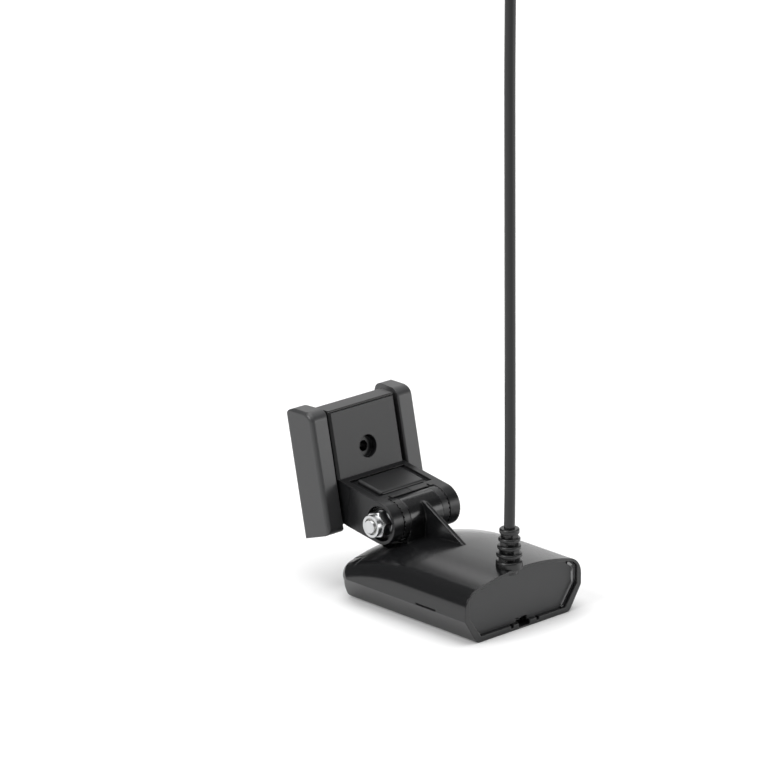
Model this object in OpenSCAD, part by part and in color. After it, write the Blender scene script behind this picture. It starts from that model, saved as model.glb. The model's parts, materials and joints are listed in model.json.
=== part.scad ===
// Sonar transducer on a kick-up transom bracket, built as separate pieces.
// Millimetres. x runs aft, y to starboard, z up; the origin is the middle of the flat underside.

/* [Housing] */
// Length of the housing from nose to aft rim
body_length = 86.5; // [82:0.5:92]
// Width of the housing at the seam
body_width = 73.6; // [70:0.2:78]
// Height of the top at its highest
crown_height = 29.4; // [28:0.1:31]
// Radius of the arched top
crown_radius = 115; // [105:1:130]
// Radius where the top turns down into the sides
shoulder_radius = 9; // [7:0.5:10]
// Height of the widest line round the housing
seam_height = 11.6; // [10:0.1:13]
// How far the sides come in below the seam
foot_inset = 7.4; // [6:0.1:8]
// How far the nose comes in below the seam
bow_inset = 2.8; // [2.5:0.1:4]
// Rounding of the side edges underneath
foot_radius = 3; // [2:0.5:4]
// Rounding of the front edge underneath
bow_radius = 4.5; // [4:0.5:7]
// Rounding between the nose and the top
nose_radius = 7; // [5:0.5:8]
// Radius of the two front corners seen from above
corner_radius = 11; // [10:0.5:13]
// How far aft of the nose the top starts to fall
fall_start = 46; // [43:0.5:50]
// Wall thickness of the housing
wall = 2.6; // [2.2:0.1:3.2]
// Depth of the potting cavity from the aft rim
cavity_depth = 58; // [50:1:60]
// How far the potting lies below the aft rim
potting_recess = 2.2; // [1.5:0.1:3]
// Wall thickness along the top of the aft rim
lip = 1.3; // [1:0.1:1.8]

/* [Neck and pivot] */
// Distance from the aft rim to the pivot
pivot_setback = 72.1; // [70:0.1:74]
// Height of the pivot
pivot_height = 35.9; // [35:0.1:38]
// Radius of the pivot barrel
barrel_radius = 9.8; // [9.4:0.1:10]
// Length of the middle knuckle
knuckle_length = 20.4; // [19:0.1:21]
// Thickness of each ratchet between the knuckle and an ear
ratchet_thickness = 4.35; // [3:0.05:5]
// Thickness of the gusset behind the knuckle
fin_thickness = 2; // [1.6:0.1:3]
// Radius of the pivot bolt
bolt_radius = 3.1; // [2.9:0.05:3.2]
// Running clearance of the bolt in the knuckle
bolt_fit = 0.05; // [0.02:0.01:0.1]
// Play of the bolt in the ears and ratchets
bolt_play = 0.15; // [0.1:0.05:0.25]
// Number of teeth on each ratchet face
tooth_count = 18; // [12:1:24]
// Height of the ratchet teeth
tooth_height = 0.6; // [0.4:0.1:0.7]

/* [Pivot arm] */
// Width of the arm behind its ears
arm_width = 41.8; // [41:0.1:43]
// Thickness of each ear
ear_thickness = 6.2; // [6:0.1:6.6]
// Slope of the arm in degrees
arm_slope = 8.6; // [6:0.1:10]
// Lean of the upright plate in degrees
plate_lean = 12.3; // [10:0.1:14]
// Distance the plate stands in front of the pivot
plate_reach = 27.8; // [27:0.1:29]
// Height of the foot of the plate over the pivot
plate_rise = 15.8; // [15:0.1:16.5]
// Thickness of the plate
plate_thickness = 8.4; // [8:0.1:8.8]
// Width of the plate
plate_width = 41.4; // [40:0.1:41.6]
// Height of the plate over its foot
plate_height = 29.7; // [29:0.1:30]
// Height of the screw hole over the foot of the plate
plate_hole_height = 9.7; // [8:0.1:11]
// Radius of the screw hole
screw_hole_radius = 2.6; // [2.4:0.1:2.9]
// Radius of the counterbore
counterbore_radius = 5.3; // [5:0.1:5.8]
// Depth of the counterbore
counterbore_depth = 3.2; // [2.5:0.1:4]
// Depth of the panel sunk in the arm
panel_depth = 1.2; // [0.8:0.1:1.3]
// Radius of the two kick-up pins
kick_pin_radius = 2.5; // [2:0.1:2.8]

/* [Bracket] */
// Width over the two cheeks
bracket_width = 64; // [62.5:0.1:65.5]
// Gap between the plate and each cheek
cheek_gap = 1.5; // [1:0.1:1.8]
// Height of the cheeks over the foot of the plate
cheek_top = 31.4; // [31:0.1:32.5]
// Depth of the cheeks under the foot of the plate
cheek_drop = 27.3; // [25:0.1:28]
// How far the cheeks stand in front of the plate
cheek_front = 0.6; // [0.3:0.1:1.5]
// Depth of the bracket behind the plate
bracket_back = 17.2; // [16.5:0.1:18]
// Thickness of the back wall
back_wall = 4; // [3.4:0.1:4.4]
// How much the cheeks thin towards the back
cheek_taper = 1.8; // [1:0.1:2.2]
// Rounding of the outer edges of the cheeks
cheek_edge = 2.1; // [1.6:0.1:2.6]
// Height of the side screw slots over the foot of the plate
slot_height = -8; // [-10:0.5:-4]
// Spacing of the side screw slots
slot_spacing = 26; // [24:0.5:28]

/* [Cable] */
// Radius of the cable
cable_radius = 2.5; // [2.3:0.05:2.7]
// Place of the cable ahead of the aft rim
cable_setback = 5.1; // [4.9:0.1:6]
// Place of the cable to port of the middle
cable_offset = 4.4; // [0:0.1:5]
// Height of the top of the cable boot
boot_top = 47.3; // [47:0.1:48]
// Radius of the boot at its foot
boot_radius = 6.1; // [5.6:0.1:6.3]

/* [Hidden] */
$fn = 72;
aft_x = 40;
nose_x = aft_x - body_length;
half_width = body_width / 2;
fall_x = nose_x + fall_start;
fall_z = crown_height - crown_radius;
pivot_x = aft_x - pivot_setback;
corner_x = nose_x + corner_radius;
corner_y = half_width - corner_radius;
foot_angle = atan2(seam_height, foot_inset);
knuckle_half = knuckle_length / 2;
arm_half = arm_width / 2;
ratchet_gap = 0.15;
ratchet_in = knuckle_half + ratchet_gap;
ear_in = ratchet_in + ratchet_thickness;
ear_out = ear_in + ear_thickness;
ear_root = 14;
slab_length = 34;
bay_clear = 0.4;
barrel_clear = 0.5;
panel_back = 26;
panel_front = 7;
panel_half = 17.4;
cover_gap = [1.6, 0.8];
cover_half = 13.8;
cover_rise = 0.8;
cover_edge = 1.2;
nut_pocket = 3.4;
nut_pocket_radius = 8.2;
washer_radius = 5.9;
washer_thick = 1.4;
nut_flats = 11.1;
nut_hex = 4.9;
nut_collar = 2.8;
head_radius = 5.6;
head_height = 3.4;
key_flats = 4;
plate_x = pivot_x - plate_reach;
plate_z = pivot_height + plate_rise;
kick_n = -5.4;
kick_h = plate_height - 3.5;
kick_fit = 0.06;
cheek_in = plate_width / 2 + cheek_gap;
cheek_out = bracket_width / 2;
edge_over = 0.12;
root_spread = 4.4;
cheek_turn = [5, 5.2];
cheek_top_z = plate_z + cheek_front * sin(plate_lean) + cheek_top * cos(plate_lean);
probe_bay = [-3.1, 4.1, 0.7, 4.4];
probe_sunk = 2.4;
probe_radius = 1.4;
cable_x = aft_x - cable_setback;
cable_y = -cable_offset;
boot_foot = crown_height - 2.4;
plug_radius = 3.2;
boss_foot = 26;
cable_end = 296;
potting_x = aft_x - potting_recess;
cavity_x = aft_x - cavity_depth;
disc_x = aft_x - 38;
disc_radius = 17;
disc_thick = 9;
disc_pad = 3.5;
bar_x = aft_x - 11;
board_x = aft_x - 18.5;
board_thick = 1.6;
bar_width = 6;
bar_length = 48;
bar_height = 7;
bar_pad = 3;
floor_z = wall;
route = [
    [cable_x, cable_y, boot_top],
    [cable_x + 0.1, cable_y, 58],
    [cable_x + 0.1, cable_y, 72],
    [cable_x, cable_y, 88],
    [cable_x - 0.2, cable_y, 104],
    [cable_x - 0.4, cable_y, 120],
    [cable_x - 0.6, cable_y, 136],
    [cable_x - 0.8, cable_y, 152],
    [cable_x - 1, cable_y, 168],
    [cable_x - 1.2, cable_y, 184],
    [cable_x - 1.4, cable_y, 200],
    [cable_x - 1.6, cable_y, 216],
    [cable_x - 1.8, cable_y, 232],
    [cable_x - 2, cable_y, 248],
    [cable_x - 2.1, cable_y, 264],
    [cable_x - 2.1, cable_y, 280],
    [cable_x - 2.1, cable_y, cable_end]
];
route_end = route[len(route) - 1];

// Stretches a drawing of y and z along x.
module along_x(x0, x1) {
    translate([x0, 0, 0]) rotate([90, 0, 90]) linear_extrude(x1 - x0) children();
}

// Stretches a drawing of x and z along y.
module along_y(y0, y1) {
    translate([0, y1, 0]) rotate([90, 0, 0]) linear_extrude(y1 - y0) children();
}

// A round bar along y.
module bar_y(r, y0, y1) {
    translate([0, y1, 0]) rotate([90, 0, 0]) cylinder(r = r, h = y1 - y0);
}

module at_pivot() {
    translate([pivot_x, 0, pivot_height]) children();
}

module in_arm() {
    at_pivot() rotate([0, arm_slope, 0]) children();
}

module in_plate() {
    translate([plate_x, 0, plate_z]) rotate([0, -plate_lean, 0]) children();
}

// Brings a shape drawn in place into the slanted frame of the plate.
module from_plate() {
    rotate([0, plate_lean, 0]) translate([-plate_x, 0, -plate_z]) children();
}

// A drawing with straight sides and rounded corners, one radius for each corner.
module soft_polygon(points, radii) {
    n = len(points);
    ends = [for (i = [0 : n - 1])
        let (
            a = unit(points[(i + n - 1) % n] - points[i]),
            b = unit(points[(i + 1) % n] - points[i]),
            half = acos(a * b) / 2,
            t = radii[i] / tan(half)
        )
        [points[i] + a * t, points[i] + b * t, points[i] + unit(a + b) * radii[i] / sin(half)]];
    polygon([for (i = [0 : n - 1]) each radii[i] > 0 ? [ends[i][0], ends[i][1]] : [points[i]]]);
    for (i = [0 : n - 1]) if (radii[i] > 0) translate(ends[i][2]) circle(radii[i]);
}

// The arched cross-section, drawn in y and z, drawn in by the given amount and reaching down to z0.
module arch(inset, z0) {
    r = crown_radius - inset;
    s = shoulder_radius - inset;
    y = half_width - shoulder_radius;
    h = sqrt(pow(crown_radius - shoulder_radius, 2) - y * y);
    k = r / (crown_radius - shoulder_radius);
    intersection() {
        translate([0, fall_z]) circle(r, $fn = 180);
        translate([-y * k, z0]) square([2 * y * k, crown_height + 2 - z0]);
    }
    for (m = [-1, 1]) translate([m * y, fall_z + h]) circle(s);
    translate([-half_width + inset, z0]) square([body_width - 2 * inset, fall_z + h - z0]);
}

// The lower half of the cross-section with its sides coming in, drawn in y and z.
module tapered(inset) {
    lift = inset * (1 - cos(foot_angle)) / sin(foot_angle);
    w = half_width - inset;
    f = half_width - foot_inset - inset;
    r = max(foot_radius - inset, 0.6);
    t = r * tan(foot_angle / 2);
    a = [cos(foot_angle), sin(foot_angle)];
    translate([0, inset]) {
        polygon([
            [-f + t, 0], [f - t, 0], [f + t * a[0], t * a[1]], [w, seam_height - lift], [w, 50],
            [-w, 50], [-w, seam_height - lift], [-f - t * a[0], t * a[1]]
        ]);
        for (m = [-1, 1]) translate([m * (f - t), r]) circle(r);
    }
}

// The side outline with its swept-up bow, drawn in x and z.
module side_outline() {
    soft_polygon(
        [[nose_x + bow_inset, 0], [aft_x, 0], [aft_x, 50], [nose_x, 50], [nose_x, seam_height]],
        [bow_radius, 0, 0, 0, 0]
    );
}

// Everything behind the rounded edge between the nose and the top.
module nose_edge() {
    xc = nose_x + nose_radius;
    k = crown_radius - nose_radius;
    rc = sqrt(k * k - pow(xc - fall_x, 2));
    far = 1.2;
    translate([0, 0, fall_z]) rotate([0, 90, 0]) rotate_extrude($fn = 180) {
        translate([0, nose_x]) square([rc, body_length]);
        translate([rc, xc]) circle(nose_radius);
        polygon([
            [rc, xc], [rc * far, fall_x + (xc - fall_x) * far], [rc * far, aft_x], [rc, aft_x]
        ]);
    }
}

// The rounded front corner as a turned shape.
module corner_turning() {
    r = nose_radius;
    c = corner_radius - r;
    tilt = asin(sqrt(pow(corner_x - fall_x, 2) + corner_y * corner_y) / crown_radius);
    p = [c + r * sin(tilt), seam_height + r * cos(tilt)];
    rotate_extrude() {
        polygon([
            [0, 0], [corner_radius - bow_inset + 0.6, 0], [corner_radius, seam_height], [0, seam_height]
        ]);
        intersection() {
            translate([c, seam_height]) circle(r);
            translate([0, seam_height]) square([corner_radius + 1, r + 1]);
        }
        polygon([[0, seam_height], [c, seam_height], p, [0, p[1] + p[0] * tan(tilt)]]);
    }
}

module corner_cuts() {
    for (m = [-1, 1]) difference() {
        translate([nose_x - 1, m > 0 ? corner_y : -half_width - 1, -1])
            cube([corner_radius + 1, corner_radius + 1, 45]);
        translate([corner_x, m * corner_y, 0]) corner_turning();
    }
}

module housing_outside() {
    difference() {
        intersection() {
            union() {
                along_x(fall_x, aft_x) arch(0, 0);
                intersection() {
                    translate([fall_x, 0, fall_z]) rotate([90, 0, 0]) rotate_extrude($fn = 180)
                        rotate(-90) translate([0, -fall_z]) arch(0, -20);
                    translate([nose_x - 1, -half_width - 1, -1]) cube([fall_x - nose_x + 1, body_width + 2, 45]);
                }
            }
            along_x(nose_x - 1, aft_x) tapered(0);
            along_y(-half_width - 1, half_width + 1) side_outline();
            nose_edge();
        }
        corner_cuts();
    }
}

module cavity_shape(x1) {
    intersection() {
        union() {
            along_x(cavity_x, aft_x - 5) arch(wall, 0);
            if (x1 > aft_x - 5) along_x(aft_x - 5, x1) arch(lip, 0);
        }
        along_x(cavity_x, x1) tapered(wall);
    }
}

// The thick place round the cable inside the top of the housing, and the root of the neck.
module inner_bosses() {
    intersection() {
        translate([cable_x, cable_y, boss_foot]) cylinder(r = plug_radius + 1, h = 7);
        translate([0, -half_width, 0]) cube([aft_x - 0.8, body_width, 60]);
    }
    translate([pivot_x - 8, -knuckle_half, 12]) cube([24, knuckle_length, 30]);
}

// Radial teeth as a flat drawing round the pivot.
module teeth() {
    for (i = [0 : tooth_count - 1]) rotate(i * 360 / tooth_count) translate([4.6, -0.45]) square([3, 0.9]);
}

// The neck, its gusset and the knuckle.
module neck() {
    along_y(-knuckle_half, knuckle_half) polygon([
        [pivot_x - 6.5, pivot_height], [pivot_x - 6.5, 18], [pivot_x + 9, 18],
        [pivot_x + barrel_radius - 0.3, pivot_height]
    ]);
    along_y(-fin_thickness / 2, fin_thickness / 2) polygon([
        [pivot_x, pivot_height], [pivot_x + 2, 20], [pivot_x + 36, 24], [pivot_x + 34.8, crown_height - 0.4],
        [pivot_x + 8.8, pivot_height + 7.6], [pivot_x + 7.2, pivot_height + 7.8], [pivot_x + 5, pivot_height + 7.4]
    ]);
    at_pivot() bar_y(barrel_radius, -knuckle_half, knuckle_half);
    for (m = [-1, 1]) at_pivot() translate([0, m * knuckle_half, 0]) rotate([-90 * m, 0, 0])
        linear_extrude(tooth_height) teeth();
}

// The root of the neck, spreading out where it meets the top of the housing.
module neck_root() {
    along_x(pivot_x - 6.5, pivot_x + 9) polygon([
        [-knuckle_half - root_spread, 18], [knuckle_half + root_spread, 18],
        [knuckle_half, pivot_height - 4], [-knuckle_half, pivot_height - 4]
    ]);
}

// Room in the top of the housing for the ears and ratchets to turn.
module barrel_relief() {
    at_pivot() difference() {
        bar_y(barrel_radius + barrel_clear, -ear_out - 1, ear_out + 1);
        bar_y(barrel_radius + 2 * barrel_clear, -knuckle_half, knuckle_half);
    }
}

module transducer_housing() {
    color("#141517") difference() {
        union() {
            difference() {
                union() {
                    housing_outside();
                    neck_root();
                }
                barrel_relief();
            }
            intersection() {
                neck();
                translate([pivot_x - 20, -half_width, 12]) cube([70, body_width, 60]);
            }
        }
        difference() {
            cavity_shape(aft_x + 1);
            inner_bosses();
        }
        at_pivot() bar_y(bolt_radius + bolt_fit, -knuckle_half - 2, knuckle_half + 2);
        translate([cable_x, cable_y, boss_foot - 1]) cylinder(r = plug_radius, h = 9);
        translate([aft_x - 32, -half_width - 1, seam_height + 0.3]) cube([13, 1.7, 0.8]);
        translate([aft_x - 32, half_width - 0.7, seam_height + 0.3]) cube([13, 1.7, 0.8]);
        probe_opening();
        for (y = [-8, 8.2]) translate([potting_x, y, 1.3]) cube([potting_recess + 1, 1.8, wall]);
    }
}

module potting_resin() {
    color("#0d0d0e") difference() {
        cavity_shape(potting_x);
        inner_bosses();
        sonar_disc_shape();
        disc_backing_shape();
        imaging_bar_shape();
        bar_backing_shape();
        board_shape();
        leads_shape();
        probe_shape();
        probe_opening();
        stub_shape();
    }
}

module sonar_disc_shape() {
    translate([disc_x, 0, floor_z]) cylinder(r = disc_radius, h = disc_thick);
}

module sonar_disc() {
    color("#d9d2c0") sonar_disc_shape();
}

module disc_backing_shape() {
    translate([disc_x, 0, floor_z + disc_thick]) cylinder(r = disc_radius, h = disc_pad);
}

module disc_backing() {
    color("#8a6a45") disc_backing_shape();
}

module imaging_bar_shape() {
    translate([bar_x - bar_width / 2, -bar_length / 2, floor_z]) cube([bar_width, bar_length, bar_height]);
}

module imaging_bar() {
    color("#d9d2c0") imaging_bar_shape();
}

module bar_backing_shape() {
    translate([bar_x - bar_width / 2, -bar_length / 2, floor_z + bar_height])
        cube([bar_width, bar_length, bar_pad]);
}

module bar_backing() {
    color("#8a6a45") bar_backing_shape();
}

module board_shape() {
    translate([board_x, -12, 14]) cube([board_thick, 22, 9]);
}

module signal_board() {
    color("#2e6b3a") board_shape();
}

// Wires from the board to the two sound elements and the cable.
module leads_shape() {
    for (m = [-1, 1]) translate([board_x - 4, m * 5 - 1, 10]) {
        translate([0, 0, floor_z + disc_thick + disc_pad - 10]) cylinder(r = 0.6, h = 3.4);
        translate([0, 0, floor_z + disc_thick + disc_pad + 2.8 - 10]) rotate([0, 90, 0]) cylinder(r = 0.6, h = 4);
    }
    for (m = [-1, 1]) translate([bar_x, m * 5 - 1, floor_z + bar_height + bar_pad]) {
        cylinder(r = 0.6, h = 5.9);
        translate([0, 0, 5.3]) rotate([0, -90, 0]) cylinder(r = 0.6, h = bar_x - board_x - board_thick);
    }
    translate([board_x + board_thick, cable_y, 19]) rotate([0, 90, 0])
        cylinder(r = 0.6, h = cable_x - board_x - board_thick + 0.6);
    translate([cable_x, cable_y, 18.4]) cylinder(r = 0.6, h = 2.6);
}

module element_leads() {
    color("#b87333") leads_shape();
}

// The bay behind the notch in the rim, where water reaches the probe.
module probe_opening() {
    translate([potting_x - probe_sunk, probe_bay[0], probe_bay[2]])
        cube([probe_sunk + potting_recess + 1, probe_bay[1] - probe_bay[0], probe_bay[3] - probe_bay[2]]);
}

module probe_shape() {
    start = bar_x + bar_width / 2 + 0.3;
    long = potting_x - probe_sunk + 0.4 - start;
    translate([start, (probe_bay[0] + probe_bay[1]) / 2, floor_z + probe_radius + 0.2]) {
        rotate([0, 90, 0]) cylinder(r = probe_radius, h = long);
        translate([long, 0, 0]) sphere(probe_radius);
    }
}

module temperature_probe() {
    color("#3a3a3c") probe_shape();
}

module stub_shape() {
    translate([cable_x, cable_y, 21]) cylinder(r = cable_radius, h = boot_top - 21);
}

module cable_stub() {
    color("#17181a") stub_shape();
}

// A ring round the cable with rounded outer edges.
module boot_ring(r, z0, z1, soft) {
    rotate_extrude() soft_polygon([[0, z0], [r, z0], [r, z1], [0, z1]], [0, soft, soft, 0]);
}

module cable_boot() {
    pitch = 3.6;
    gap = 1.7;
    first = boot_top - 4 * pitch - 0.6;
    color("#18191b") translate([cable_x, cable_y, 0]) difference() {
        union() {
            translate([0, 0, boss_foot]) cylinder(r = plug_radius, h = 8);
            difference() {
                boot_ring(boot_radius, boot_foot - 2, first, 1);
                translate([-cable_x, -cable_y, 0]) housing_outside();
                translate([cable_setback, -20, 0]) cube([20, 40, crown_height - 0.8]);
            }
            translate([0, 0, crown_height]) cylinder(r = 3.1, h = boot_top - crown_height);
            for (i = [0 : 3]) {
                low = first + gap + i * pitch;
                boot_ring(boot_radius - 0.2 - i * 0.44, low, i == 3 ? boot_top : low + pitch - gap, 0.7);
            }
            for (i = [0 : 3]) rotate(91 + i * 90) translate([-boot_radius + 1 + i * 0.44, -1.7, first - 0.3 + i * pitch])
                cube([2 * (boot_radius - 1 - i * 0.44), 3.4, gap + 0.6]);
        }
        translate([0, 0, 18]) cylinder(r = cable_radius, h = boot_top);
    }
}

function unit(v) = v / norm(v);
function heading(i) = unit(route[min(i + 1, len(route) - 1)] - route[max(i - 1, 0)]);
function ring(i, n) = [
    for (k = [0 : n - 1])
        let (d = heading(i), u = unit(cross(d, [0, 1, 0])), v = cross(d, u), a = 360 * k / n)
        route[i] + cable_radius * (cos(a) * u + sin(a) * v)
];

module cable() {
    n = 12;
    m = len(route);
    color("#17181a") polyhedron(
        points = [for (i = [0 : m - 1]) each ring(i, n)],
        faces = concat(
            [[for (k = [0 : n - 1]) k]],
            [for (i = [0 : m - 2]) for (k = [0 : n - 1])
                [i * n + k, (i + 1) * n + k, (i + 1) * n + (k + 1) % n, i * n + (k + 1) % n]],
            [[for (k = [n - 1 : -1 : 0]) (m - 1) * n + k]]
        )
    );
}

module at_plug() {
    translate(route_end) children();
}

module connector_body() {
    color("#1c1d1f") at_plug() difference() {
        union() {
            cylinder(r1 = 4.2, r2 = 6.4, h = 14);
            translate([0, 0, 14]) cylinder(r = 8.6, h = 14);
            translate([0, 0, 28]) cylinder(r = 7, h = 12);
        }
        translate([0, 0, 30]) cylinder(r = 5.6, h = 12);
        translate([0, 0, 31.5]) difference() {
            cylinder(r = 9, h = 2);
            translate([0, 0, -1]) cylinder(r = 6.4, h = 4);
        }
    }
}

module connector_collar() {
    color("#232427") at_plug() difference() {
        union() {
            translate([0, 0, 15]) cylinder(r = 10.6, h = 11);
            for (i = [0 : 11]) rotate(i * 30) translate([9.6, -0.9, 15.5]) cube([1.5, 1.8, 10]);
        }
        translate([0, 0, 14]) cylinder(r = 8.6, h = 13);
    }
}

module connector_insert() {
    color("#2b2c2f") at_plug() difference() {
        translate([0, 0, 30]) cylinder(r = 5.6, h = 9.6);
        contact_shapes();
    }
}

module contact_shapes() {
    for (i = [0 : 6]) rotate(i * 360 / 7) translate([3.6, 0, 31]) cylinder(r = 0.85, h = 9, $fn = 24);
}

module connector_contacts() {
    color("#c9a227") at_plug() difference() {
        contact_shapes();
        for (i = [0 : 6]) rotate(i * 360 / 7) translate([3.6, 0, 33]) cylinder(r = 0.5, h = 9, $fn = 24);
    }
}

module connector_seal() {
    color("#101010") at_plug() translate([0, 0, 32.5]) rotate_extrude() {
        translate([7.35, 0]) circle(0.95);
    }
}

module pivot_bolt() {
    head_y = ear_out - nut_pocket + washer_thick;
    end_y = -ear_out + nut_pocket - washer_thick - nut_hex - nut_collar - 0.9;
    color("#c4c7ca") at_pivot() difference() {
        union() {
            bar_y(bolt_radius, end_y, head_y);
            bar_y(head_radius, head_y, head_y + head_height);
        }
        translate([0, head_y + head_height + 0.1, 0]) rotate([90, 0, 0])
            cylinder(r = key_flats / sqrt(3), h = 2.3, $fn = 6);
    }
}

module washer_at(y0) {
    at_pivot() difference() {
        bar_y(washer_radius, y0, y0 + washer_thick);
        bar_y(bolt_radius + bolt_play, y0 - 1, y0 + washer_thick + 1);
    }
}

module head_washer() {
    color("#bfc2c6") washer_at(ear_out - nut_pocket);
}

module nut_washer() {
    color("#bfc2c6") washer_at(-ear_out + nut_pocket - washer_thick);
}

module lock_nut() {
    base = -ear_out + nut_pocket - washer_thick;
    color("#d6d9dc") at_pivot() difference() {
        union() {
            intersection() {
                translate([0, base, 0]) rotate([90, 0, 0]) rotate(15)
                    cylinder(r = nut_flats / sqrt(3), h = nut_hex, $fn = 6);
                translate([0, base + 0.6, 0]) rotate([90, 0, 0]) cylinder(r1 = 9, r2 = 5.5, h = nut_hex + 1.4);
            }
            bar_y(5.15, base - nut_hex - nut_collar, base - nut_hex + 0.2);
        }
        bar_y(bolt_radius, base - 20, base + 1);
        bar_y(4.3, base - nut_hex - nut_collar + 0.7, base - nut_hex);
        bar_y(3.9, base - nut_hex - nut_collar - 1, base - nut_hex);
    }
}

module nut_insert() {
    base = -ear_out + nut_pocket - washer_thick;
    color("#e4e2da") at_pivot() difference() {
        bar_y(4.3, base - nut_hex - nut_collar + 0.7, base - nut_hex);
        bar_y(bolt_radius, base - 20, base + 1);
    }
}

// A ratchet for one side: plain rim, teeth in a sunk ring, two keys into the ear.
module ratchet(m) {
    at_pivot() rotate([0, arm_slope, 0]) mirror([0, m > 0 ? 0 : 1, 0]) difference() {
        union() {
            bar_y(barrel_radius, ratchet_in, ear_in);
            for (k = [-1, 1]) translate([k * 6.6 - 1.2, ear_in - 0.1, -2]) cube([2.4, 1.5, 4]);
        }
        difference() {
            bar_y(8.3, ratchet_in - 1, ratchet_in + 2 * tooth_height);
            translate([0, ratchet_in + 2 * tooth_height, 0]) rotate([90, 0, 0])
                linear_extrude(tooth_height - ratchet_gap) teeth();
            bar_y(4.4, ratchet_in, ratchet_in + 2 * tooth_height);
        }
        bar_y(bolt_radius + bolt_play, 0, 30);
        translate([0, ear_in, 0]) rotate([90, 0, 0]) linear_extrude(0.9) for (i = [0 : 27]) rotate(i * 360 / 28 + 6)
            translate([barrel_radius - 0.9, -0.45]) square([2.4, 0.9]);
        difference() {
            bar_y(barrel_radius + 1, ear_in - 0.4, ear_in + 0.5);
            bar_y(barrel_radius - 0.6, ear_in - 1, ear_in + 1);
        }
    }
}

module port_ratchet() {
    color("#1b1c1f") ratchet(-1);
}

module starboard_ratchet() {
    color("#1b1c1f") ratchet(1);
}

module pivot_arm() {
    color("#15161a") difference() {
        union() {
            in_arm() difference() {
                union() {
                    translate([-slab_length, -arm_half, -barrel_radius])
                        cube([slab_length - ear_root, arm_width, 2 * barrel_radius]);
                    translate([-ear_root - 1, -ear_out, -barrel_radius])
                        cube([ear_root + 1, 2 * ear_out, 2 * barrel_radius]);
                    bar_y(barrel_radius, -ear_out, ear_out);
                }
                bar_y(barrel_radius + bay_clear, -ear_in, ear_in);
                translate([-11.5, -ear_in, -barrel_radius - 1]) cube([40, 2 * ear_in, barrel_radius + 1]);
                translate([0, -ear_in, -1]) cube([30, 2 * ear_in, barrel_radius + 2]);
                for (m = [-1, 1]) for (k = [-1, 1])
                    translate([k * 6.6 - 1.35, m > 0 ? ear_in - 1 : -ear_in - 1.6, -2.15]) cube([2.7, 2.6, 4.3]);
                bar_y(bolt_radius + bolt_play, -ear_out - 1, ear_out + 1);
                bar_y(nut_pocket_radius, -ear_out - 1, -ear_out + nut_pocket);
                bar_y(nut_pocket_radius, ear_out - nut_pocket, ear_out + 1);
                translate([-panel_back, -panel_half, barrel_radius - panel_depth])
                    cube([panel_back - panel_front, 2 * panel_half, 5]);
                translate([-slab_length - 1, plate_width / 2, -30]) cube([14, 10, 60]);
                translate([-slab_length - 1, -plate_width / 2 - 10, -30]) cube([14, 10, 60]);
            }
            in_plate() {
                intersection() {
                    along_y(-plate_width / 2, plate_width / 2) polygon([
                        [0, -20], [0, plate_height - 0.3], [-1, plate_height - 0.3], [-1, plate_height + 0.6],
                        [-0.2, plate_height + 0.7], [-8.8, plate_height + 2.5], [-10.2, plate_height + 2.2],
                        [-10.8, plate_height + 1.2], [-10.8, 22], [-plate_thickness, 19], [-plate_thickness, -20]
                    ]);
                    translate([0, 0, -30]) linear_extrude(80) polygon([
                        [-12, -plate_width / 2], [-1.1, -plate_width / 2], [0, -plate_width / 2 + 1.1],
                        [0, plate_width / 2 - 1.1], [-1.1, plate_width / 2], [-12, plate_width / 2]
                    ]);
                }
                translate([kick_n, 0, kick_h]) bar_y(kick_pin_radius, -cheek_in - 2.6, cheek_in + 2.6);
            }
        }
        in_plate() translate([-12, -2, plate_height + 1.8]) cube([3, 4, 2]);
        in_arm() {
            translate([-8, 0.8, barrel_radius - 0.3]) cube([8, 0.4, 1]);
            for (y = [-12.8, 11.6]) translate([-5, y, barrel_radius - 0.6]) cube([5, 1.2, 1]);
        }
        in_plate() {
            translate([-counterbore_depth, 0, plate_hole_height]) rotate([0, 90, 0])
                cylinder(r = counterbore_radius, h = 10);
            translate([-20, 0, plate_hole_height]) rotate([0, 90, 0]) cylinder(r = screw_hole_radius - 0.1, h = 30);
        }
    }
}

module arm_cover() {
    x0 = -panel_back + cover_gap[0];
    x1 = -panel_front - cover_gap[1];
    top = panel_depth + cover_rise;
    color("#222428") in_arm() translate([0, 0, barrel_radius - panel_depth]) intersection() {
        along_x(x0, x1) soft_polygon(
            [[-cover_half, 0], [cover_half, 0], [cover_half, top], [-cover_half, top]],
            [0, 0, cover_edge, cover_edge]
        );
        along_y(-cover_half, cover_half) soft_polygon(
            [[x0, 0], [x1, 0], [x1, top], [x0, top]], [0, 0, cover_edge, cover_edge]
        );
        linear_extrude(top) soft_polygon(
            [[x0, -cover_half], [x1, -cover_half], [x1, cover_half], [x0, cover_half]], [1.5, 1.5, 1.5, 1.5]
        );
    }
}

// What lies outside the turned corner between the front and the top of a cheek.
module cheek_corner() {
    r = cheek_turn[0];
    a = [1, 0];
    top = [sin(plate_lean), cos(plate_lean)];
    far = unit(a + top);
    c = [cheek_front, cheek_top] - far * r / (far * a);
    difference() {
        along_y(cheek_in - 2, cheek_out + 2) polygon([
            c, c + a * (r + 1), c + far * (r + 6), c + top * (r + 1)
        ]);
        translate([c[0], cheek_in - 3, c[1]]) rotate([-90, 0, 0]) rotate_extrude() soft_polygon([
            [0, 0], [r, 0], [r, cheek_out - cheek_in + 3], [0, cheek_out - cheek_in + 3]
        ], [0, 0, cheek_edge, 0]);
    }
}

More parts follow.
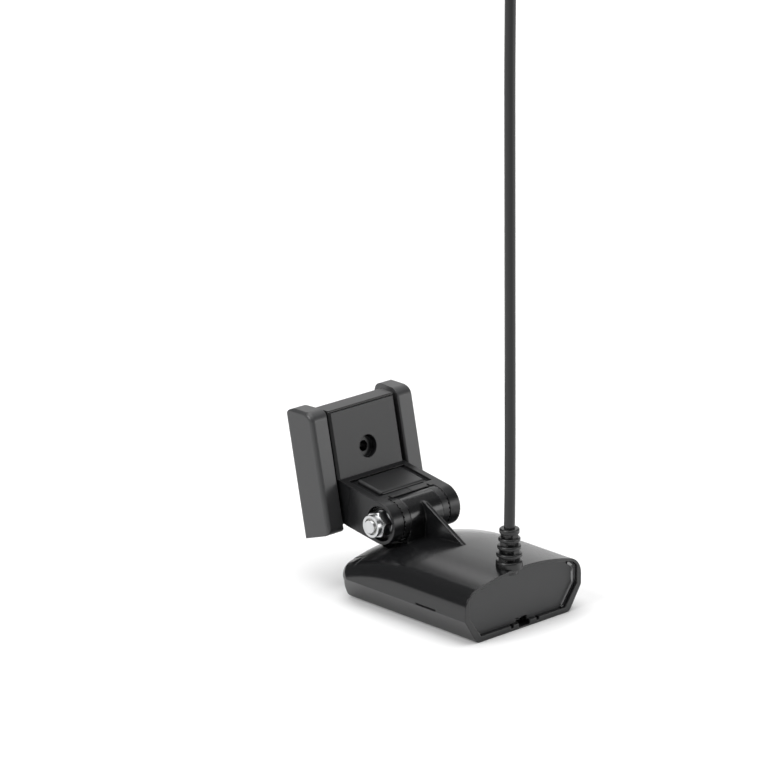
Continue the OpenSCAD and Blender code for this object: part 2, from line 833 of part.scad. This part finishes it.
module cheek() {
    rise = (bracket_back + cheek_front) * tan(plate_lean);
    difference() {
        intersection() {
            along_y(cheek_in - 1, cheek_out + 1) soft_polygon([
                [-bracket_back, -cheek_drop], [cheek_front, -cheek_drop + 2],
                [cheek_front, cheek_top], [-bracket_back, cheek_top + rise]
            ], [1.5, 3, 0, cheek_turn[1]]);
            from_plate() along_x(plate_x - 40, plate_x + 20) soft_polygon([
                [cheek_in - 1, 0], [cheek_out + edge_over, 0],
                [cheek_out + edge_over, cheek_top_z + edge_over], [cheek_in - 1, cheek_top_z + edge_over]
            ], [0, 0, cheek_edge, 0]);
            translate([0, 0, -cheek_drop - 1]) linear_extrude(cheek_drop + cheek_top + 10) soft_polygon([
                [-bracket_back, cheek_in + cheek_taper], [cheek_front, cheek_in],
                [cheek_front, cheek_out], [-bracket_back, cheek_out]
            ], [0.3, 0.8, cheek_edge, cheek_edge]);
        }
        cheek_corner();
    }
}

module mounting_bracket() {
    color("#17181b") in_plate() difference() {
        union() {
            for (m = [0, 1]) mirror([0, m, 0]) cheek();
            translate([-bracket_back, -cheek_in - cheek_taper - 1, -cheek_drop + 2])
                cube([back_wall, 2 * (cheek_in + cheek_taper + 1), cheek_drop + 26]);
        }
        translate([kick_n, 0, kick_h]) bar_y(kick_pin_radius + kick_fit, -cheek_in - 2.9, cheek_in + 2.9);
        translate([-bracket_back - 1, 0, plate_hole_height]) rotate([0, 90, 0])
            cylinder(r = screw_hole_radius, h = back_wall + 2);
        for (m = [-1, 1]) translate([-bracket_back - 1, m * slot_spacing / 2, slot_height]) {
            rotate([0, 90, 0]) cylinder(r = screw_hole_radius, h = back_wall + 2);
            translate([0, 0, 7]) rotate([0, 90, 0]) cylinder(r = screw_hole_radius, h = back_wall + 2);
            translate([0, -screw_hole_radius, 0]) cube([back_wall + 2, 2 * screw_hole_radius, 7]);
        }
    }
}

transducer_housing();
potting_resin();
sonar_disc();
disc_backing();
imaging_bar();
bar_backing();
signal_board();
element_leads();
temperature_probe();
cable_boot();
cable_stub();
cable();
connector_body();
connector_collar();
connector_insert();
connector_contacts();
connector_seal();
pivot_bolt();
head_washer();
nut_washer();
lock_nut();
nut_insert();
port_ratchet();
starboard_ratchet();
pivot_arm();
arm_cover();
mounting_bracket();
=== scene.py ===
"""Looks for the sonar transducer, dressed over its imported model.

x runs aft, y to starboard, z up. Pieces are laid out in millimetres and made in metres.
"""

import json
import math

import bpy
from mathutils import Matrix, Vector


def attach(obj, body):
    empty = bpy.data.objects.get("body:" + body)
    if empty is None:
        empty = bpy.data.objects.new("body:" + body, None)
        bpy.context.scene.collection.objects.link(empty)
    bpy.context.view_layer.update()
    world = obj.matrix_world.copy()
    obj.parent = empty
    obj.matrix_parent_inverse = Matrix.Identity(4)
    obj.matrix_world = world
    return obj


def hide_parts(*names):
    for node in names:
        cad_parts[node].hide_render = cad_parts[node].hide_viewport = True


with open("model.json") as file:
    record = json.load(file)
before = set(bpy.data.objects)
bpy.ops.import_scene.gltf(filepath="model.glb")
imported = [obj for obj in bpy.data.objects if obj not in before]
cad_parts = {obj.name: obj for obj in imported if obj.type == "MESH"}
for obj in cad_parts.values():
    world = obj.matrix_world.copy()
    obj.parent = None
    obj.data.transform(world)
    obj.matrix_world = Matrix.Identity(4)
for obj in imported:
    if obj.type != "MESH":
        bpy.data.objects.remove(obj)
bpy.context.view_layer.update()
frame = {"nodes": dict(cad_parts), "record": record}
nodes = frame["nodes"]

MM = 0.001

# Sizes of the solids that the added pieces follow
HALF_WIDTH = 36.8
CROWN_HEIGHT = 29.4
CROWN_RADIUS = 115.0
SHOULDER_RADIUS = 9.0
SEAM_HEIGHT = 11.6
FOOT_INSET = 7.4
WALL = 2.6
LIP = 1.3
POTTING_X = 37.8
CABLE_RADIUS = 2.5
CABLE_X = 34.9
CABLE_Y = -4.4
BOOT_TOP = 47.3
PIVOT = Vector((-32.1, 0.0, 35.9))
ARM_HALF = 20.9
NUT_POCKET = 3.4
WASHER_THICK = 1.4
NUT_HEX = 4.9
NUT_COLLAR = 2.8
NUT_END = -ARM_HALF + NUT_POCKET - WASHER_THICK - NUT_HEX - NUT_COLLAR
BOLT_RADIUS = 3.1

# How far the cable leans along x at each of its points
CABLE_DRIFT = [0, 0.1, 0.1, 0, -0.2, -0.4, -0.6, -0.8, -1, -1.2, -1.4, -1.6, -1.8, -2, -2.1, -2.1, -2.1]

# Corner at the foot of the aft recess, from where its floor and its side would meet
FOOT_CORNER = [(-1.0, 0.0), (0.0, 0.25), (0.5, 0.8)]

# Sections of the potting's edge and bead: height over the potting, and distance from the wall
EDGE_SECTION = [(0.03, 0.95), (0.12, 0.55), (0.3, 0.28), (0.75, 0.04)]
BEAD_SECTION = [(0.05, 2.0), (0.4, 1.55), (0.55, 1.1), (0.4, 0.6)]
BEAD_TOP = 24.5

# The camera, in metres
CAMERA_PLACE = (1.5241, -1.4980, 0.8012)
CAMERA_RIGHT = (0.6892, 0.7245, 0.0)
CAMERA_BACK = (0.6889, -0.6554, 0.3097)
CAMERA_LENS = 233.77

GRAIN_SCALE = 2600.0
GRAIN_DEPTH = 0.0001
COAT_ROUGHNESS = 0.12
FLOOR_DROP = 0.0002


def make_camera():
    """The camera stands aft and to port of the part and looks down on it a little."""
    data = bpy.data.cameras.new("camera")
    data.sensor_fit = "HORIZONTAL"
    data.sensor_width = 36.0
    data.lens = CAMERA_LENS
    data.clip_end = 50.0
    camera = bpy.data.objects.new("camera", data)
    bpy.context.scene.collection.objects.link(camera)
    right = Vector(CAMERA_RIGHT).normalized()
    back = Vector(CAMERA_BACK).normalized()
    up = back.cross(right).normalized()
    turn = Matrix((right, up, back)).transposed().to_4x4()
    camera.matrix_world = Matrix.Translation(CAMERA_PLACE) @ turn
    bpy.context.scene.camera = camera


def make_cable(material):
    """The cable, held up straight from above, out of the boot and into its plug."""
    heights = [BOOT_TOP, 58, 72] + list(range(88, 297, 16))
    points = [Vector((CABLE_X + dx, CABLE_Y, z)) * MM for dx, z in zip(CABLE_DRIFT, heights)]
    data = bpy.data.curves.new("cable_run", "CURVE")
    data.dimensions = "3D"
    data.bevel_depth = 1.0
    data.bevel_resolution = 6
    data.use_fill_caps = True
    spline = data.splines.new("POLY")
    spline.points.add(len(points) - 1)
    for target, point in zip(spline.points, points):
        target.co = (*point, 1.0)
        target.radius = CABLE_RADIUS * MM
    spline.use_smooth = True
    data.materials.append(material)
    cable = bpy.data.objects.new("cable_run", data)
    bpy.context.scene.collection.objects.link(cable)
    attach(cable, "transducer")
    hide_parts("cable")


def plastic(name, color, roughness, grain=0.0, edge=0.35, coat=0.0, sheen=0.5):
    """A moulded plastic with softened edges and, where asked, a fine grain."""
    material = bpy.data.materials.new(name)
    material.use_nodes = True
    tree = material.node_tree
    shader = tree.nodes["Principled BSDF"]
    shader.inputs["Base Color"].default_value = (*color, 1.0)
    shader.inputs["Roughness"].default_value = roughness
    shader.inputs["Specular IOR Level"].default_value = sheen
    shader.inputs["Coat Weight"].default_value = coat
    shader.inputs["Coat Roughness"].default_value = COAT_ROUGHNESS
    bevel = tree.nodes.new("ShaderNodeBevel")
    bevel.samples = 6
    bevel.inputs["Radius"].default_value = edge * MM
    last = bevel.outputs["Normal"]
    if grain > 0:
        where = tree.nodes.new("ShaderNodeTexCoord")
        noise = tree.nodes.new("ShaderNodeTexNoise")
        noise.inputs["Scale"].default_value = GRAIN_SCALE
        noise.inputs["Detail"].default_value = 2.0
        bump = tree.nodes.new("ShaderNodeBump")
        bump.inputs["Strength"].default_value = grain
        bump.inputs["Distance"].default_value = GRAIN_DEPTH
        tree.links.new(where.outputs["Object"], noise.inputs["Vector"])
        tree.links.new(noise.outputs["Fac"], bump.inputs["Height"])
        tree.links.new(last, bump.inputs["Normal"])
        last = bump.outputs["Normal"]
    tree.links.new(last, shader.inputs["Normal"])
    return material


def metal(name, color, roughness, edge=0.2):
    """A bare metal with softened edges."""
    material = plastic(name, color, roughness, edge=edge)
    material.node_tree.nodes["Principled BSDF"].inputs["Metallic"].default_value = 1.0
    return material


def make_materials():
    """One material for each slot of the record, put on that slot's solids."""
    looks = {
        "housing": plastic("housing_plastic", (0.007, 0.0072, 0.0077), 0.2, grain=0.03, edge=0.8),
        "potting": plastic("potting_resin", (0.017, 0.0175, 0.0185), 0.4, grain=0.05, edge=0.1),
        "bracket": plastic("bracket_plastic", (0.036, 0.0364, 0.0375), 0.36, grain=0.08, edge=0.4),
        "arm": plastic("arm_plastic", (0.008, 0.0082, 0.0088), 0.3, grain=0.06, edge=0.5, sheen=0.36),
        "cover": plastic("cover_plastic", (0.006, 0.0062, 0.0068), 0.36, grain=0.06, edge=0.4),
        "ratchet": plastic("ratchet_plastic", (0.007, 0.0072, 0.0078), 0.35, edge=0.2),
        "boot": plastic("boot_rubber", (0.005, 0.0051, 0.0054), 0.3, edge=0.3),
        "cable": plastic("cable_jacket", (0.005, 0.0051, 0.0054), 0.34, grain=0.05, edge=0.1),
        "connector": plastic("connector_plastic", (0.02, 0.0205, 0.022), 0.42, grain=0.06),
        "seal": plastic("seal_rubber", (0.014, 0.014, 0.014), 0.6),
        "probe": plastic("probe_cap", (0.1, 0.1, 0.104), 0.4),
        "nylon": plastic("nut_nylon", (0.62, 0.61, 0.57), 0.5),
        "element": plastic("element_ceramic", (0.72, 0.69, 0.62), 0.6),
        "backing": plastic("element_backing", (0.3, 0.2, 0.12), 0.8),
        "board": plastic("board_lacquer", (0.04, 0.2, 0.08), 0.4),
        "copper": metal("lead_copper", (0.72, 0.42, 0.26), 0.35),
        "contacts": metal("contact_brass", (0.8, 0.62, 0.28), 0.25),
        "steel": metal("hardware_steel", (0.54, 0.545, 0.55), 0.28),
    }
    for part in frame["record"]["subparts"]:
        if part["node"] in nodes:
            mesh = nodes[part["node"]].data
            mesh.materials.clear()
            mesh.materials.append(looks[part["material_slot"]])
    return looks


def new_mesh(name, points, faces, material, body, smooth=False):
    """A piece made from points in millimetres."""
    mesh = bpy.data.meshes.new(name)
    mesh.from_pydata([Vector(p) * MM for p in points], [], faces)
    mesh.update()
    mesh.materials.append(material)
    for face in mesh.polygons:
        face.use_smooth = smooth
    piece = bpy.data.objects.new(name, mesh)
    bpy.context.scene.collection.objects.link(piece)
    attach(piece, body)


def recess_outline():
    """The inside edge of the aft recess in y and z, from its starboard foot over the top to its port foot."""
    side = HALF_WIDTH - WALL
    foot = HALF_WIDTH - FOOT_INSET - WALL
    slope = math.atan2(SEAM_HEIGHT, FOOT_INSET)
    knee = WALL + SEAM_HEIGHT - WALL * (1 - math.cos(slope)) / math.sin(slope)
    reach = HALF_WIDTH - SHOULDER_RADIUS
    centre = CROWN_HEIGHT - CROWN_RADIUS
    rise = math.sqrt((CROWN_RADIUS - SHOULDER_RADIUS) ** 2 - reach ** 2)
    turn = SHOULDER_RADIUS - LIP
    start = math.acos((side - reach) / turn)
    stop = math.atan2(rise, reach)
    half = [(foot + out, WALL + above) for out, above in FOOT_CORNER]
    half += [(foot + (side - foot) * k / 6, WALL + (knee - WALL) * k / 6) for k in range(1, 6)]
    midway = knee + 4
    half += [(side, knee), (side, midway), (side, centre + rise + turn * math.sin(start))]
    for k in range(1, 9):
        angle = start + (stop - start) * k / 8
        half.append((reach + turn * math.cos(angle), centre + rise + turn * math.sin(angle)))
    for k in range(1, 21):
        angle = stop + (math.pi / 2 - stop) * k / 20
        half.append(((CROWN_RADIUS - LIP) * math.cos(angle), centre + (CROWN_RADIUS - LIP) * math.sin(angle)))
    port = [(-y, z) for y, z in half[:-1]]
    return half + port[::-1]


def make_creep(name, outline, section, material):
    """A strip of potting that has crept up the wall of the recess along the outline."""
    last = len(outline) - 1
    points = []
    for k, (y, z) in enumerate(outline):
        before = outline[max(k - 1, 0)]
        after = outline[min(k + 1, last)]
        along = Vector((after[0] - before[0], after[1] - before[1])).normalized()
        inward = Vector((-along.y, along.x))
        for rise, reach in section:
            points.append((POTTING_X + rise, y + inward.x * reach, z + inward.y * reach))
    wide = len(section)
    faces = []
    for k in range(last):
        for j in range(wide - 1):
            near = k * wide + j
            far = near + wide
            faces.append((near, far, far + 1, near + 1))
    new_mesh(name, points, faces, material, "transducer", smooth=True)


def make_meniscus():
    """The potting's shiny edge round the recess, thicker up the starboard wall, where the bead's pale colour
    paints a highlight line.
    """
    outline = recess_outline()
    shine = plastic("potting_edge", (0.02, 0.02, 0.021), 0.16, edge=0.05)
    make_creep("potting_meniscus", outline, EDGE_SECTION, shine)
    # The bead's pale base colour is painted highlight: it paints the bright reflection line up the starboard
    # wall.
    bead_painted_highlight = plastic("potting_bead_painted_highlight", (0.09, 0.09, 0.092), 0.12, edge=0.05, coat=1.0, sheen=1.0)
    foot = HALF_WIDTH - FOOT_INSET - WALL
    wall = [(y, z) for y, z in outline if y > foot - 0.2 and z < BEAD_TOP]
    make_creep("potting_bead_painted_highlight", wall, BEAD_SECTION, bead_painted_highlight)


def make_thread(material):
    """The last turns of thread on the end of the pivot bolt, past the nut."""
    turns = 2.0
    sides = 40
    pitch = 0.45
    root = BOLT_RADIUS - 0.05
    crest = BOLT_RADIUS + 0.16
    section = [(root, -0.2), (crest, 0.0), (root, 0.2)]
    points = []
    faces = []
    steps = int(turns * sides)
    for k in range(steps + 1):
        angle = 2 * math.pi * k / sides
        y = NUT_END - 0.02 - pitch * k / sides
        for radius, shift in section:
            points.append((PIVOT.x + radius * math.cos(angle), y + shift, PIVOT.z + radius * math.sin(angle)))
    wide = len(section)
    for k in range(steps):
        for j in range(wide - 1):
            near = k * wide + j
            far = near + wide
            faces.append((near, far, far + 1, near + 1))
    new_mesh("bolt_thread", points, faces, material, "arm")


def area_light(name, place, target, width, height, power):
    """A soft rectangular light that faces its target."""
    data = bpy.data.lights.new(name, "AREA")
    data.shape = "RECTANGLE"
    data.size = width
    data.size_y = height
    data.energy = power
    light = bpy.data.objects.new(name, data)
    light.location = place
    light.rotation_euler = (Vector(target) - Vector(place)).to_track_quat("-Z", "Y").to_euler()
    bpy.context.scene.collection.objects.link(light)


def make_studio():
    """A white floor under soft light from above, from behind the part and from both sides."""
    world = bpy.data.worlds.new("studio")
    bpy.context.scene.world = world
    world.use_nodes = True
    sky = world.node_tree.nodes["Background"]
    sky.inputs["Color"].default_value = (1.0, 1.0, 1.0, 1.0)
    sky.inputs["Strength"].default_value = 0.12
    bpy.ops.mesh.primitive_plane_add(size=14.0, location=(0.0, 0.0, -FLOOR_DROP))
    floor = bpy.context.object
    floor.name = "floor"
    paint = bpy.data.materials.new("floor_paint")
    paint.use_nodes = True
    shader = paint.node_tree.nodes["Principled BSDF"]
    shader.inputs["Base Color"].default_value = (0.96, 0.96, 0.96, 1.0)
    shader.inputs["Roughness"].default_value = 0.9
    shader.inputs["Specular IOR Level"].default_value = 0.1
    floor.data.materials.append(paint)
    area_light("overhead", (-0.1, 0.25, 2.6), (-0.1, 0.25, 0.0), 3.0, 3.2, 78.0)
    area_light("backdrop", (-1.44, 1.56, 0.6), (0.0, 0.0, 0.1), 2.4, 1.14, 7.9)
    area_light("back_softbox", (-1.42, 1.68, 1.7), (0.0, 0.0, 0.1), 1.3, 0.38, 2.9)
    area_light("right_side", (1.5, 1.3, 0.36), (0.0, 0.0, 0.05), 1.6, 0.68, 11.5)
    area_light("left_side", (-0.3, -1.7, 1.3), (0.0, 0.0, 0.02), 1.2, 1.0, 28.0)
    view = bpy.context.scene.view_settings
    view.view_transform = "Standard"
    view.look = "None"
    bpy.context.scene.cycles.use_denoising = True


make_camera()
looks = make_materials()
make_cable(looks["cable"])
make_meniscus()
make_thread(looks["steel"])
make_studio()
